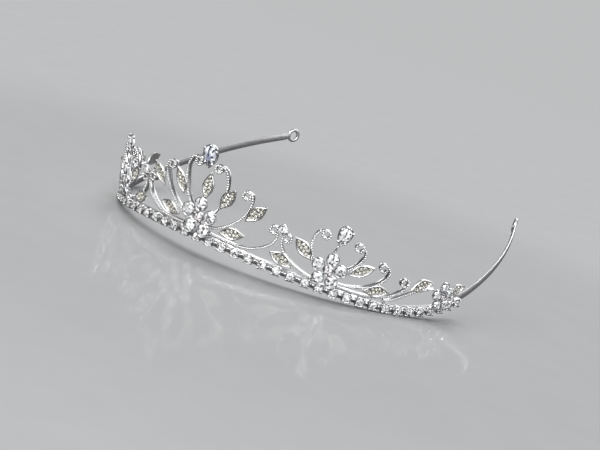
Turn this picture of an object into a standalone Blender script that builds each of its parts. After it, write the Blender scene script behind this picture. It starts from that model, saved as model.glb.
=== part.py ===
"""Bridal tiara: a bent metal headband, a rhinestone cup chain and a soldered scroll, leaf and flower crest.

The crest is drawn flat, in millimetres, as (s, t, d): s runs along the headband from its middle, t runs up
the crest and d points outward, away from the head. A lean angle tips the crest outward. band_surface()
bends that drawing round the headband, and every piece right of the middle has a mirror image on the left.
World axes: +X to the right, -Y to the front, +Z up, and Z = 0 is the table that the tiara stands on.
"""
import bisect
import math

import bmesh
import bpy
from mathutils import Matrix, Vector

MM = 0.001

# Headband strip: its plan is two half ellipses that share the widest width.
HALF_WIDTH = 67.0
FRONT_DEPTH = 69.0
REAR_SWEEP = 103.0
STRIP_HALF_LENGTH = 173.2
STRIP_HEIGHT = 3.0
STRIP_THICKNESS = 1.2
STRIP_CORNER = 0.25
FRONT_FLAT_HALF = 5.0
STRIP_STATION = 4.4

# Side view of the strip: a low saddle that rises a little to the front and steadily to the back.
LOW_Y = -32.0
LOW_Z = 2.0
FRONT_RISE = 4.1
REAR_SLOPE = 0.375
REAR_BEND = 25.0
ORIGIN_Y = -6.3

# Hairpin eyelets at the two ends of the strip.
EYELET_OUTER_R = 2.8
EYELET_HOLE_R = 1.5
EYELET_THICKNESS = 1.2
EYELET_GAP = 0.3

# Rhinestone cup chain on the strip's outer face.
CUP_PITCH = 4.95
CUPS_EACH_SIDE = 21
CUP_SIDE = 3.3
CUP_DEPTH = 1.0
CUP_CROWN = 0.45
CUP_INSET = 0.5
CUP_T = -0.35
CUP_BACK_D = 0.68
LINK_HEIGHT = 0.9
LINK_THICKNESS = 0.4

# Flat ribbon wire, leaves, and the planes they stand on.
RIBBON_THICKNESS = 0.55
RIBBON_DEPTH = 1.2
RIBBON_D = 0.4
CENTRE_LEAN = 15.0
SIDE_LEAN = 12.0
LEAF_LENGTH = 9.6
LEAF_WIDTH = 4.0
LEAF_THICKNESS = 0.8
LEAF_GAP = 0.06
LEAF_TIP_BEND = 0.5
LOOP_SWEEP = 292.0

# Flowers: five round stones about a small one, on one back plate.
PLATE_THICKNESS = 0.5
PETAL_BASE = 0.9
PETAL_CROWN = 0.5
FLOWER_STEPS = 14

# name: (s, t, back d, lean, turn in degrees, petal circle radius, petal radius, middle stone radius)
FLOWERS = {
    "centre_flower": (0.0, 6.6, 2.0, 10.0, 0.0, 4.75, 2.3, 1.65),
    "side_flower": (45.2, 6.9, 2.0, 8.0, -4.0, 4.2, 2.1, 1.5),
    "end_flower": (90.6, 5.4, 2.3, 3.0, 8.0, 3.45, 1.85, 1.2),
}

# name: (lean, points of the run, (loop centre s, loop centre t, loop radius, turn)), turn +1 anticlockwise
RIBBONS = {
    "lyre": (CENTRE_LEAN, [(2.6, 5.4), (4.7, 9.9), (6.1, 12.4), (7.1, 15.8), (7.75, 20.2), (7.4, 22.9)],
             (4.45, 24.7, 1.7, 1)),
    "centre_scroll": (CENTRE_LEAN, [(2.4, 4.0), (5.6, 4.6), (9.0, 6.6), (11.7, 8.85), (13.9, 11.4), (15.5, 14.1),
                                    (16.5, 17.2)], (14.85, 19.95, 1.75, 1)),
    "inner_span_wire": (SIDE_LEAN, [(2.8, 2.1), (13.0, 2.1), (17.9, 2.8), (21.1, 4.1), (23.7, 5.8), (25.8, 8.1),
                                    (26.7, 10.6)], (25.2, 12.7, 1.35, 1)),
    "outer_span_wire": (SIDE_LEAN, [(42.4, 2.1), (40.0, 2.15), (37.2, 2.9), (34.0, 4.0), (31.3, 5.7), (29.3, 7.9),
                                    (28.4, 10.4)], (30.1, 11.6, 1.35, -1)),
    "side_inner_scroll": (SIDE_LEAN, [(42.2, 6.6), (39.8, 8.9), (38.3, 11.2), (37.6, 14.1), (37.9, 16.6),
                                      (38.9, 18.6)], (41.1, 18.1, 1.4, -1)),
    "side_upper_scroll": (SIDE_LEAN, [(48.0, 6.6), (51.3, 8.9), (53.0, 10.5), (54.4, 12.8), (55.2, 15.2),
                                      (54.9, 17.2)], (52.6, 17.6, 1.4, 1)),
    "side_lower_scroll": (SIDE_LEAN, [(47.2, 3.3), (50.2, 3.2), (53.8, 3.5), (57.9, 4.5), (61.0, 5.9), (63.6, 7.8),
                                      (65.4, 10.4), (65.5, 12.6)], (63.0, 13.4, 1.4, 1)),
    "ball_scroll": (6.0, [(47.6, 2.1), (55.0, 2.1), (61.5, 2.2), (66.3, 2.9), (70.0, 4.2), (73.0, 6.0),
                          (74.6, 7.9)], (73.6, 9.45, 1.45, 1)),
    "end_wire": (3.0, [(68.0, 2.1), (71.4, 3.05), (75.5, 5.1), (79.6, 6.8), (84.0, 7.7), (89.0, 7.2)], None),
}

# name: (s and t of the leaf's middle, direction of its tip in degrees, lean)
LEAVES = {
    "centre_leaf": (0.0, 17.6, 90.0, 8.0),
    "lyre_leaf": (8.8, 17.0, 66.0, CENTRE_LEAN),
    "scroll_leaf": (18.7, 16.3, 55.0, CENTRE_LEAN),
    "lower_leaf": (12.4, 6.1, 18.0, CENTRE_LEAN),
    "span_leaf": (30.0, 4.6, 160.0, SIDE_LEAN),
    "side_inner_leaf": (35.9, 11.2, 138.0, SIDE_LEAN),
    "side_outer_leaf": (55.6, 10.8, 36.0, SIDE_LEAN),
    "side_lower_leaf": (62.9, 5.4, 13.5, SIDE_LEAN),
    "end_inner_leaf": (80.3, 9.6, 24.0, 3.0),
    "end_outer_leaf": (99.4, 5.6, 13.0, 3.0),
}

# Pear stones: name: (s, t, lean, tilt of the round end in degrees, length, width)
PEARS = {
    "centre_pear": (0.0, 28.3, CENTRE_LEAN, 90.0, 8.2, 5.7),
    "side_pear": (46.5, 19.7, SIDE_LEAN, 82.0, 7.4, 4.9),
}
PEAR_SETTING_DEPTH = 1.4
PEAR_D = 0.45
STONE_FIT = 0.86
WALL_FIT = 0.89
STONE_GIRDLE = 0.4
STONE_BEVEL = 0.6
SIDE_STEM = [(45.15, 12.3), (45.75, 15.6)]

# Square stones, set as diamonds over the two loops of the span wires.
SQUARE_S = 27.9
SQUARE_T = 14.4
SQUARE_SIDE = 3.1
SQUARE_WALL = 0.3
SQUARE_D = 1.7

METAL = ("rhodium_metal", (0.86, 0.87, 0.88, 1.0), 0.16, 1.0)
CRYSTAL = ("clear_crystal", (0.93, 0.95, 0.97, 1.0), 0.05, 0.0)
PAVE = ("pave_crystal", (0.90, 0.89, 0.84, 1.0), 0.10, 0.3)


def clear_scene():
    """Start from an empty file."""
    for obj in list(bpy.data.objects):
        bpy.data.objects.remove(obj, do_unlink=True)


def make_collection(name):
    """New collection in the scene."""
    collection = bpy.data.collections.new(name)
    bpy.context.scene.collection.children.link(collection)
    return collection


def make_material(node_name, spec):
    """Principled material of one piece."""
    name, colour, roughness, metallic = spec
    material = bpy.data.materials.new(node_name + "_" + name)
    material.use_nodes = True
    shader = material.node_tree.nodes["Principled BSDF"]
    shader.inputs["Base Color"].default_value = colour
    shader.inputs["Roughness"].default_value = roughness
    shader.inputs["Metallic"].default_value = metallic
    material.diffuse_color = colour
    return material


# ---------------------------------------------------------------- the headband's path

def band_height(y):
    """Height of the strip's centreline above the table at depth y."""
    run = y - LOW_Y
    if run < 0.0:
        return LOW_Z + FRONT_RISE * (run / (FRONT_DEPTH + LOW_Y)) ** 2
    return LOW_Z + REAR_SLOPE * (math.hypot(run, REAR_BEND) - REAR_BEND)


def band_plan(angle):
    """Centreline point of the strip's right half, angle 0 at the front and 90 degrees at the side."""
    depth = FRONT_DEPTH if angle < math.pi / 2 else REAR_SWEEP
    y = -depth * math.cos(angle)
    return Vector((HALF_WIDTH * math.sin(angle), y, band_height(y)))


def measure_band(step_degrees=0.25):
    """Points along the right half of the strip with their distance from the middle."""
    count = int(130.0 / step_degrees)
    points = [band_plan(math.radians(step_degrees * i)) for i in range(count + 1)]
    lengths = [0.0]
    for before, after in zip(points, points[1:]):
        lengths.append(lengths[-1] + (after - before).length)
    return points, lengths


BAND_POINTS, BAND_LENGTHS = measure_band()


def band_frame(s):
    """Centre point, level tangent and level outward normal of the strip at distance s, on either side."""
    side = -1.0 if s < 0.0 else 1.0
    reach = abs(s)
    i = min(max(bisect.bisect_right(BAND_LENGTHS, reach) - 1, 0), len(BAND_POINTS) - 2)
    part = (reach - BAND_LENGTHS[i]) / (BAND_LENGTHS[i + 1] - BAND_LENGTHS[i])
    point = BAND_POINTS[i].lerp(BAND_POINTS[i + 1], part)
    before = BAND_POINTS[max(i - 1, 0)]
    after = BAND_POINTS[min(i + 2, len(BAND_POINTS) - 1)]
    tangent = Vector((after.x - before.x, after.y - before.y, 0.0))
    if i == 0:
        tangent = Vector((1.0, part * (after.y - before.y) / (after.x - before.x), 0.0))
    tangent.normalize()
    point.x *= side
    tangent.y *= side
    normal = Vector((tangent.y, -tangent.x, 0.0))
    return point, tangent, normal


def band_surface(s, t, d, lean=0.0):
    """World point, in metres, of the flat drawing's point (s, t, d) on a crest with this lean."""
    point, _, normal = band_frame(s)
    angle = math.radians(lean)
    outward = d * math.cos(angle) + t * math.sin(angle)
    up = t * math.cos(angle) - d * math.sin(angle)
    world = point + normal * outward + Vector((0.0, 0.0, up))
    world.y -= ORIGIN_Y
    return world * MM


def seat(s, t, d, lean, direction=90.0):
    """Matrix of a rigid piece on the crest: local Y along direction in the drawing, local Z outward."""
    _, tangent, normal = band_frame(s)
    angle = math.radians(lean)
    outward = normal * math.cos(angle) - Vector((0.0, 0.0, math.sin(angle)))
    step_s = 0.5 * math.cos(math.radians(direction))
    step_t = 0.5 * math.sin(math.radians(direction))
    ahead = band_surface(s + step_s, t + step_t, d, lean)
    behind = band_surface(s - step_s, t - step_t, d, lean)
    along = ahead - behind
    along -= outward * along.dot(outward)
    along.normalize()
    across = along.cross(outward)
    rotation = Matrix((across, along, outward)).transposed().to_4x4()
    return Matrix.Translation(band_surface(s, t, d, lean)) @ rotation @ Matrix.Scale(MM, 4)


# ---------------------------------------------------------------- meshes

def weld(mesh):
    """Join coincident vertices and point every face outward."""
    bm = bmesh.new()
    bm.from_mesh(mesh)
    bmesh.ops.remove_doubles(bm, verts=bm.verts, dist=1e-5)
    bmesh.ops.recalc_face_normals(bm, faces=bm.faces)
    bm.to_mesh(mesh)
    bm.free()
    return mesh


def mesh_of(obj):
    """Evaluated mesh of a helper object, which is then removed."""
    bpy.context.view_layer.update()
    depsgraph = bpy.context.evaluated_depsgraph_get()
    mesh = bpy.data.meshes.new_from_object(obj.evaluated_get(depsgraph))
    bpy.data.objects.remove(obj, do_unlink=True)
    return weld(mesh)


def helper_object(name, data):
    """Object that only exists while a mesh is made from it."""
    obj = bpy.data.objects.new(name, data)
    HELPERS.objects.link(obj)
    return obj


def mesh_of_bmesh(name, bm):
    """Mesh datablock of a finished bmesh."""
    mesh = bpy.data.meshes.new(name)
    bm.to_mesh(mesh)
    bm.free()
    return mesh


def union(base_mesh, added_mesh):
    """Boolean union of two meshes as one mesh."""
    base = helper_object("union_base", base_mesh)
    added = helper_object("union_added", added_mesh)
    modifier = base.modifiers.new("union", "BOOLEAN")
    modifier.operation = "UNION"
    modifier.solver = "EXACT"
    modifier.object = added
    added.hide_render = True
    added.display_type = "WIRE"
    mesh = mesh_of(base)
    bpy.data.objects.remove(added, do_unlink=True)
    return mesh


def bend(mesh, lean=0.0):
    """Bend a mesh drawn in (s, t, d) millimetres round the headband."""
    for vertex in mesh.vertices:
        vertex.co = band_surface(vertex.co.x, vertex.co.y, vertex.co.z, lean)
    mesh.update()
    return mesh


def add_part(name, mesh, material_spec):
    """Named sub-part with its own material."""
    mesh.name = name
    mesh.materials.clear()
    mesh.materials.append(make_material(name, material_spec))
    obj = bpy.data.objects.new(name, mesh)
    TIARA.objects.link(obj)
    return obj


def add_pair(name, mesh, material_spec):
    """Right-hand piece and its mirror image on the left."""
    left = mesh.copy()
    left.transform(Matrix.Scale(-1.0, 4, (1.0, 0.0, 0.0)))
    left.flip_normals()
    add_part(name + "_right", mesh, material_spec)
    add_part(name + "_left", left, material_spec)


def curve_data(name, extrude):
    """Flat curve whose extrude is half of its thickness."""
    curve = bpy.data.curves.new(name, "CURVE")
    curve.dimensions = "2D"
    curve.fill_mode = "BOTH"
    curve.extrude = extrude
    return curve


def add_bezier_outline(curve, corners, steps=5):
    """Closed outline from (point, handle before, handle after) corners."""
    curve.resolution_u = steps
    spline = curve.splines.new("BEZIER")
    spline.bezier_points.add(len(corners) - 1)
    for knot, (point, before, after) in zip(spline.bezier_points, corners):
        knot.handle_left_type = "FREE"
        knot.handle_right_type = "FREE"
        knot.co = (*point, 0.0)
        knot.handle_left = (*before, 0.0)
        knot.handle_right = (*after, 0.0)
    spline.use_cyclic_u = True


def turned(name, profile, steps):
    """Solid turned about local Z from an outer profile that runs from top to bottom."""
    bm = bmesh.new()
    vertices = [bm.verts.new((radius, 0.0, height)) for radius, height in profile]
    for upper, lower in zip(vertices, vertices[1:]):
        bm.edges.new((upper, lower))
    obj = helper_object(name, mesh_of_bmesh(name, bm))
    screw = obj.modifiers.new("turn", "SCREW")
    screw.steps = steps
    screw.render_steps = steps
    screw.use_merge_vertices = True
    screw.merge_threshold = 0.0001
    return mesh_of(obj)


# ---------------------------------------------------------------- headband, eyelets and cup chain

def strip_section():
    """Corners of the strip's section as (d, t), going round once."""
    half_d = STRIP_THICKNESS / 2
    half_t = STRIP_HEIGHT / 2
    c = STRIP_CORNER
    return [(half_d, -half_t + c), (half_d, half_t - c), (half_d - c, half_t), (-half_d + c, half_t),
            (-half_d, half_t - c), (-half_d, -half_t + c), (-half_d + c, -half_t), (half_d - c, -half_t)]


def strip_stations():
    """Distances of the strip's sections, with one flat stretch across the middle."""
    count = round((STRIP_HALF_LENGTH - FRONT_FLAT_HALF) / STRIP_STATION)
    step = (STRIP_HALF_LENGTH - FRONT_FLAT_HALF) / count
    right = [FRONT_FLAT_HALF + step * i for i in range(count + 1)]
    return [-s for s in reversed(right)] + right


def build_headband():
    """Loft of the strip's section along the bent centreline."""
    bm = bmesh.new()
    rings = []
    for s in strip_stations():
        ring = [bm.verts.new(band_surface(s, t, d)) for d, t in strip_section()]
        rings.append(ring)
    for before, after in zip(rings, rings[1:]):
        for i in range(len(before)):
            j = (i + 1) % len(before)
            bm.faces.new((before[i], before[j], after[j], after[i]))
    bm.faces.new(rings[0])
    bm.faces.new(rings[-1])
    bmesh.ops.recalc_face_normals(bm, faces=bm.faces)
    add_part("headband", mesh_of_bmesh("headband", bm), METAL)


def build_eyelets():
    """Flat ring at each end of the strip, with its hole across the strip's thickness."""
    half = EYELET_THICKNESS / 2
    profile = [(EYELET_HOLE_R, -half), (EYELET_HOLE_R, half), (EYELET_OUTER_R, half),
               (EYELET_OUTER_R, -half), (EYELET_HOLE_R, -half)]
    mesh = turned("eyelet", profile, 28)
    s = STRIP_HALF_LENGTH + EYELET_GAP + EYELET_OUTER_R
    mesh.transform(seat(s, 0.0, 0.0, 0.0, 0.0))
    add_pair("eyelet", mesh, METAL)


def cup_bodies():
    """The chain's square cups, each with a raised stone top, drawn flat."""
    bm = bmesh.new()
    for i in range(-CUPS_EACH_SIDE, CUPS_EACH_SIDE + 1):
        middle = Vector((i * CUP_PITCH, CUP_T, CUP_BACK_D + CUP_DEPTH / 2))
        size = Matrix.Diagonal((CUP_SIDE, CUP_SIDE, CUP_DEPTH, 1.0))
        cup = bmesh.ops.create_cube(bm, size=1.0, matrix=Matrix.Translation(middle) @ size)
        faces = {face for vertex in cup["verts"] for face in vertex.link_faces}
        top = max(faces, key=lambda face: face.calc_center_median().z)
        bmesh.ops.inset_region(bm, faces=[top], thickness=CUP_INSET, depth=CUP_CROWN, use_even_offset=True)
    return mesh_of_bmesh("cups", bm)


def link_bar():
    """Thin bar that joins the cups, drawn flat."""
    length = 2 * CUPS_EACH_SIDE * CUP_PITCH
    middle = Vector((0.0, CUP_T, CUP_BACK_D + 0.1 + LINK_THICKNESS / 2))
    size = Matrix.Diagonal((length, LINK_HEIGHT, LINK_THICKNESS, 1.0))
    bm = bmesh.new()
    bmesh.ops.create_cube(bm, size=1.0, matrix=Matrix.Translation(middle) @ size)
    return mesh_of_bmesh("link_bar", bm)


def build_cup_chain():
    """Cups and links as one chain, bent round the strip."""
    chain = union(link_bar(), cup_bodies())
    add_part("cup_chain", bend(chain), METAL)


# ---------------------------------------------------------------- ribbons

def loop_start(point, loop):
    """Angle at which a run from point touches the loop's circle."""
    centre_s, centre_t, radius, turn = loop
    offset = Vector((point[0] - centre_s, point[1] - centre_t))
    bearing = math.atan2(offset.y, offset.x)
    return bearing + turn * math.acos(min(1.0, radius / offset.length))


def loop_point(loop, angle):
    """Point of the loop's circle at an angle."""
    centre_s, centre_t, radius, _ = loop
    return Vector((centre_s + radius * math.cos(angle), centre_t + radius * math.sin(angle)))


def smooth_run(points, steps):
    """Catmull-Rom curve through all but the first and last points, which set its end directions."""
    run = []
    for a, b, c, d in zip(points, points[1:], points[2:], points[3:]):
        for i in range(steps):
            u = i / steps
            run.append(0.5 * (2 * b + (c - a) * u + (2 * a - 5 * b + 4 * c - d) * u ** 2
                              + (3 * b - a - 3 * c + d) * u ** 3))
    run.append(points[-2])
    return run


def ribbon_path(points, loop, steps=3, loop_step=26.0):
    """Centreline of a ribbon: a smooth run that ends in a round loop."""
    knots = [Vector(point) for point in points]
    if loop is None:
        knots = [2 * knots[0] - knots[1]] + knots + [2 * knots[-1] - knots[-2]]
        return smooth_run(knots, steps)
    turn = loop[3]
    start = loop_start(points[-1], loop)
    knots.append(loop_point(loop, start))
    knots.append(loop_point(loop, start + turn * math.radians(30.0)))
    knots.insert(0, 2 * knots[0] - knots[1])
    path = smooth_run(knots, steps)
    turns = round(LOOP_SWEEP / loop_step)
    for i in range(1, turns + 1):
        path.append(loop_point(loop, start + turn * math.radians(LOOP_SWEEP * i / turns)))
    return path


def ribbon_mesh(name, path, thickness=RIBBON_THICKNESS):
    """Flat ribbon standing on edge along a path, drawn in (s, t, d)."""
    curve = curve_data(name, RIBBON_DEPTH / 2)
    spline = curve.splines.new("POLY")
    spline.points.add(len(path) - 1)
    for knot, point in zip(spline.points, path):
        knot.co = (point.x, point.y, 0.0, 1.0)
    obj = helper_object(name, curve)
    solid = obj.modifiers.new("thickness", "SOLIDIFY")
    solid.thickness = thickness
    solid.offset = 0.0
    solid.use_even_offset = True
    mesh = mesh_of(obj)
    mesh.transform(Matrix.Translation((0.0, 0.0, RIBBON_D)))
    return mesh


def build_ribbons():
    """Scrolls and wires of the crest, in mirrored pairs."""
    for name, (lean, points, loop) in RIBBONS.items():
        mesh = ribbon_mesh(name, ribbon_path(points, loop))
        add_pair(name, bend(mesh, lean), METAL)
    stem = ribbon_mesh("side_pear_stem", [Vector(point) for point in SIDE_STEM], 0.8)
    add_pair("side_pear_stem", bend(stem, SIDE_LEAN), METAL)


# ---------------------------------------------------------------- leaves, flowers and stones

def leaf_mesh(name):
    """Leaf plate with two pointed ends, along local Y, its back on Z = 0."""
    half = LEAF_LENGTH / 2
    bulge = LEAF_WIDTH * 2 / 3
    quarter = LEAF_LENGTH / 4
    curve = curve_data(name, LEAF_THICKNESS / 2)
    base = (0.0, -half)
    tip = (LEAF_TIP_BEND, half)
    add_bezier_outline(curve, [(base, (-bulge, -quarter), (bulge, -quarter)),
                               (tip, (bulge, quarter), (-bulge, quarter))], steps=8)
    mesh = mesh_of(helper_object(name, curve))
    mesh.transform(Matrix.Translation((0.0, 0.0, LEAF_THICKNESS / 2)))
    return mesh


def build_leaves():
    """Leaves soldered on the front edges of the ribbons."""
    back = RIBBON_D + RIBBON_DEPTH / 2 + LEAF_GAP
    for name, (s, t, direction, lean) in LEAVES.items():
        mesh = leaf_mesh(name)
        if direction > 90.0:
            mesh.transform(Matrix.Scale(-1.0, 4, (1.0, 0.0, 0.0)))
            mesh.flip_normals()
        mesh.transform(seat(s, t, back, lean, direction))
        if s == 0.0:
            add_part(name, mesh, PAVE)
        else:
            add_pair(name, mesh, PAVE)


def stone_cup(radius, base, crown):
    """Round bezel with a stone's flat-topped crown, standing on Z = 0."""
    return [(0.0, base + crown), (0.6 * radius, base + crown), (radius, base), (radius, 0.1), (0.0, 0.1)]


def flower_mesh(name, circle, petal, middle):
    """Back plate with five round petals and a small middle stone."""
    plate = turned(name, [(0.0, PLATE_THICKNESS), (circle * 0.82, PLATE_THICKNESS), (circle * 0.82, 0.0),
                          (0.0, 0.0)], 20)
    stones = bmesh.new()
    heads = [(turned(name, stone_cup(middle, PETAL_BASE * 0.8, PETAL_CROWN), FLOWER_STEPS), (0.0, 0.0))]
    for i in range(5):
        angle = math.radians(90.0 + 72.0 * i)
        head = turned(name, stone_cup(petal, PETAL_BASE, PETAL_CROWN), FLOWER_STEPS)
        heads.append((head, (circle * math.cos(angle), circle * math.sin(angle))))
    for head, (x, y) in heads:
        head.transform(Matrix.Translation((x, y, 0.0)))
        stones.from_mesh(head)
    return union(plate, mesh_of_bmesh(name, stones))


def build_flowers():
    """Centre flower and the mirrored side and end flowers."""
    for name, (s, t, back, lean, turn, circle, petal, middle) in FLOWERS.items():
        mesh = flower_mesh(name, circle, petal, middle)
        mesh.transform(seat(s, t, back, lean) @ Matrix.Rotation(math.radians(turn), 4, "Z"))
        if s == 0.0:
            add_part(name, mesh, CRYSTAL)
        else:
            add_pair(name, mesh, CRYSTAL)


def pear_corners(length, width, fit):
    """Pear outline about its middle: pointed at -Y and round at +Y."""
    half_l = length / 2 * fit
    half_w = width / 2 * fit
    round_y = half_l - half_w
    k = 0.5523 * half_w
    side_drop = round_y - (round_y + half_l) * 0.45
    tip_y = -half_l
    tip_w = half_w * 0.45
    return [((0.0, tip_y), (-tip_w, tip_y + half_w * 0.45), (tip_w, tip_y + half_w * 0.45)),
            ((half_w, round_y), (half_w, side_drop), (half_w, round_y + k)),
            ((0.0, half_l), (k, half_l), (-k, half_l)),
            ((-half_w, round_y), (-half_w, round_y + k), (-half_w, side_drop))]


def square_corners(side):
    """Square outline with straight sides, standing on one corner."""
    half = side / math.sqrt(2.0)
    points = [(half, 0.0), (0.0, half), (-half, 0.0), (0.0, -half)]
    return [(point, point, point) for point in points]


def setting_mesh(name, outer, inner, depth, steps):
    """Open frame round a stone."""
    curve = curve_data(name, depth / 2)
    add_bezier_outline(curve, outer, steps)
    add_bezier_outline(curve, inner, steps)
    return mesh_of(helper_object(name, curve))


def stone_mesh(name, outline, steps):
    """Stone with sloping crown and pavilion facets round a thin girdle."""
    curve = curve_data(name, STONE_GIRDLE / 2)
    curve.bevel_depth = STONE_BEVEL
    curve.bevel_resolution = 0
    curve.offset = -STONE_BEVEL
    add_bezier_outline(curve, outline, steps)
    return mesh_of(helper_object(name, curve))


def build_pears():
    """Pear stones in their frames: one over the centre flower and one over each side flower."""
    for name, (s, t, lean, tilt, length, width) in PEARS.items():
        place = seat(s, t, PEAR_D, lean, tilt)
        outer = pear_corners(length, width, 1.0)
        setting = setting_mesh(name, outer, pear_corners(length, width, WALL_FIT), PEAR_SETTING_DEPTH, 5)
        stone = stone_mesh(name, pear_corners(length, width, STONE_FIT), 5)
        setting.transform(place)
        stone.transform(place)
        if s == 0.0:
            add_part(name + "_setting", setting, METAL)
            add_part(name + "_stone", stone, CRYSTAL)
        else:
            add_pair(name + "_setting", setting, METAL)
            add_pair(name + "_stone", stone, CRYSTAL)


def build_squares():
    """Square stones in their frames, over the loops of the span wires."""
    place = seat(SQUARE_S, SQUARE_T, SQUARE_D, SIDE_LEAN)
    wall_side = SQUARE_SIDE - 2 * SQUARE_WALL
    setting = setting_mesh("square_setting", square_corners(SQUARE_SIDE), square_corners(wall_side), 1.2, 1)
    stone = stone_mesh("square_stone", square_corners(wall_side - 0.15), 1)
    setting.transform(place)
    stone.transform(place)
    add_pair("square_setting", setting, METAL)
    add_pair("square_stone", stone, CRYSTAL)


clear_scene()
TIARA = make_collection("tiara")
HELPERS = make_collection("helpers")
build_headband()
build_eyelets()
build_cup_chain()
build_ribbons()
build_leaves()
build_flowers()
build_pears()
build_squares()
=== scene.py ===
"""Looks of the bridal tiara: its metal, stones and beads, their materials, a pale floor, light and camera.

Every piece is drawn the way the CAD is: either flat, in millimetres, as (s, t, d) and bent round the headband
by band_surface(), or upright about its own middle and put in its place by seat(). The driving sizes below are
the CAD's own. Each visible piece stands for the CAD node it details and rides on the one body of the row.
"""

import bisect
import math

import bmesh
import bpy
from mathutils import Matrix, Vector


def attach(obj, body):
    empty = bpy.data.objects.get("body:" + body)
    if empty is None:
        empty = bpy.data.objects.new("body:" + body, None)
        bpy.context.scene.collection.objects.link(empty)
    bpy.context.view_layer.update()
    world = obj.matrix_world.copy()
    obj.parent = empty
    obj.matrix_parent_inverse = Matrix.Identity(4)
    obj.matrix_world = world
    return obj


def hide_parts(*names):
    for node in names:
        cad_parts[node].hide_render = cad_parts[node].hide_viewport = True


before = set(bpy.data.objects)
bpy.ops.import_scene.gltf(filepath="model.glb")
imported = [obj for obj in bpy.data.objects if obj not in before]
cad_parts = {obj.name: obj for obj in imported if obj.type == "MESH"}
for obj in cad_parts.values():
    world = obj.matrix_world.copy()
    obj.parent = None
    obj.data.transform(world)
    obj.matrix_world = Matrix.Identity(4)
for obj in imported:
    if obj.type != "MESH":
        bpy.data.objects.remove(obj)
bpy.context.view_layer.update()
MM = 0.001

# Headband: the CAD's plan, height and section.
BAND_STEP = 0.25
BAND_END = 130.0
HALF_WIDTH = 67.0
FRONT_DEPTH = 69.0
REAR_SWEEP = 103.0
STRIP_HALF_LENGTH = 173.2
STRIP_HEIGHT = 3.0
STRIP_THICKNESS = 1.2
FRONT_FLAT_HALF = 5.0
LOW_Y = -32.0
LOW_Z = 2.0
FRONT_RISE = 4.1
REAR_SLOPE = 0.375
REAR_BEND = 25.0
ORIGIN_Y = -6.3
EYELET_OUTER_R = 2.8
EYELET_HOLE_R = 1.5
EYELET_THICKNESS = 1.2
EYELET_GAP = 0.3
EYELET_EDGE_R = 0.5

# Strip details: a flattened round wire whose ends narrow into the eyelets.
STRIP_SQUARENESS = 2.2
STRIP_SECTION_POINTS = 20
STRIP_STEP = 0.8
NECK_LENGTH = 3.0
NECK_NARROWING = 0.3
NECK_REACH = 0.9

# Cup chain. A claw is a ball on a corner of the wall and a smaller one that reaches in over the stone.
CUP_PITCH = 4.95
CUPS_EACH_SIDE = 21
CUP_SIDE = 3.3
CUP_CORNER = 0.5
CUP_T = -0.35
CUP_BACK_D = 0.68
CUP_WALL = 0.24
CUP_WALL_TOP = 1.0
CUP_EDGE_R = 0.07
CUP_FLOOR = (0.02, 0.16)
CUP_STONE_R = 1.42
CUP_STONE_Z = 0.92
CUP_STONE_CROWN = 0.5
CUP_STONE_PAVILION = 0.72
CLAW_R = 0.33
CLAW_INSET = 0.36
CLAW_RISE = 0.14
CLAW_TIP_SHARE = 0.8
CLAW_TIP_INSET = 0.26
CLAW_TIP_RISE = 0.3
LINK_WIDTH = 0.9
LINK_DEPTH = 0.4
LINK_BACK = 0.1
LINK_EDGE_R = 0.12
LINK_OVERLAP = 0.15

# Ribbons: a thin web with a row of beads along its front edge and a plain round back edge. Their loops wind
# tighter along their sweep, and a run heads for a point LOOP_LEAD degrees round its loop.
RIBBON_D = 0.4
RIBBON_DEPTH = 1.2
RIBBON_STEPS = 8
WEB_THICKNESS = 0.26
WEB_BACK = -1.05
WEB_FRONT = 0.55
WEB_EDGE_R = 0.05
BACK_EDGE_R = 0.19
BACK_EDGE_INSET = 0.05
BEAD_R = 0.41
BEAD_PITCH = 0.86
BEAD_D = 0.64
LOOP_LEAD = 30.0
LOOP_STEP = 12.0
LOOP_SWEEP = 305.0
LOOP_TIGHTENING = 0.12
BALL_END_R = 0.62
BALL_ENDED = ("ball_scroll", "side_upper_scroll")
SOLDER_R = 0.62
SOLDERED_LOOPS = ("ball_scroll",)

# Leaves: a plate with a raised rim, a ball at its tip, two rows of small stones between one near each point,
# and grains of metal between the stones and the rim.
LEAF_GAP = 0.06
LEAF_LENGTH = 9.6
LEAF_WIDTH = 4.5
LEAF_SHARPNESS = 1.08
LEAF_TIP_BEND = 0.5
LEAF_STEPS = 18
LEAF_RIM_R = 0.31
LEAF_RIM_INSET = 0.9 * LEAF_RIM_R
LEAF_RIM_Z = 0.52
LEAF_PLATE_BOTTOM = 0.06
LEAF_PLATE_TOP = 0.36
LEAF_STONE_R = 0.6
LEAF_STONE_Z = 0.5
LEAF_STONE_CROWN = 0.26
LEAF_STONE_PAVILION = 0.1
LEAF_STONE_PITCH = 1.3
LEAF_LEFT_ROW_X = -0.65
LEAF_RIGHT_ROW_X = 0.7
LEAF_POINT_STONES = [(0.0, -3.15), (0.18, 3.1)]
LEAF_GRAIN_R = 0.17
LEAF_GRAIN_X = 1.4
LEAF_GRAIN_Z = LEAF_STONE_Z + 0.12
LEAF_TIP_R = 0.36

# Flowers: a hub with a spoke to each petal, and round stones in bezels. The grip is the share of a wall's
# thickness that stays outside its stone.
PETALS = 5
FLOWER_PLATE = 0.5
HUB_SHARE = 1.15
HUB_TOP_SHARE = 1.1
HUB_EDGE = 0.06
SPOKE_WIDTH = 0.9
SPOKE_INSET = 0.04
SPOKE_EDGE_R = 0.1
BEZEL_SPREAD = 1.04
BEZEL_WALL = 0.28
BEZEL_GRIP = 0.8
BEZEL_BACK = 0.1
BEZEL_FLOOR_TOP = 0.2
BEZEL_FLOOR_INSET = 0.05
BEZEL_FRONT = 1.06
BEZEL_EDGE_R = 0.12
SET_STONE_Z = 0.88
SET_CROWN_SHARE = 0.24
SET_STONE_PAVILION = 0.62

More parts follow.
